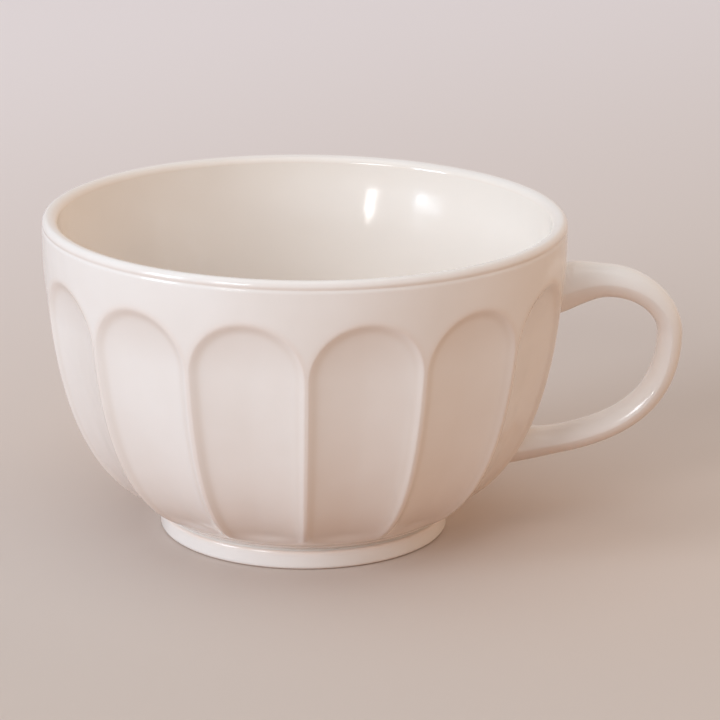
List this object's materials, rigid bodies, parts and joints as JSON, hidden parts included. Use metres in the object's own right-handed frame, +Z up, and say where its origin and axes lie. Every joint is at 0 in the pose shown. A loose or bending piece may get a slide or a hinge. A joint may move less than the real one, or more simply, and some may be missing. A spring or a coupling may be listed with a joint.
{
  "type": "fluted mug",
  "caption": "Wide round glazed stoneware mug with arched vertical flutes, a plain rounded lip, a foot ring and a loop handle, for holding a hot drink.",
  "frame": {"origin": "middle of the footprint's bounding box, on the plane that the foot ring stands on; the bowl's axis is 14 mm behind it along -X", "axes": "+Z up along the bowl's axis, +X out along the handle, +Y away from a viewer who has the handle on the right"},
  "size_m": [0.1476, 0.12, 0.0745],
  "materials": {
    "cream_glaze": "gloss",
    "foot_glaze": "gloss, wiped back to bare clay on the bearing face",
    "slip_glaze": "gloss over a smoothed joint"
  },
  "bodies": {
    "root": {"bowl": "cream_glaze", "foot_ring": "foot_glaze", "foot_slip_joint": "slip_glaze", "handle": "cream_glaze", "upper_slip_joint": "slip_glaze", "lower_slip_joint": "slip_glaze"}
  },
  "joints": []
}
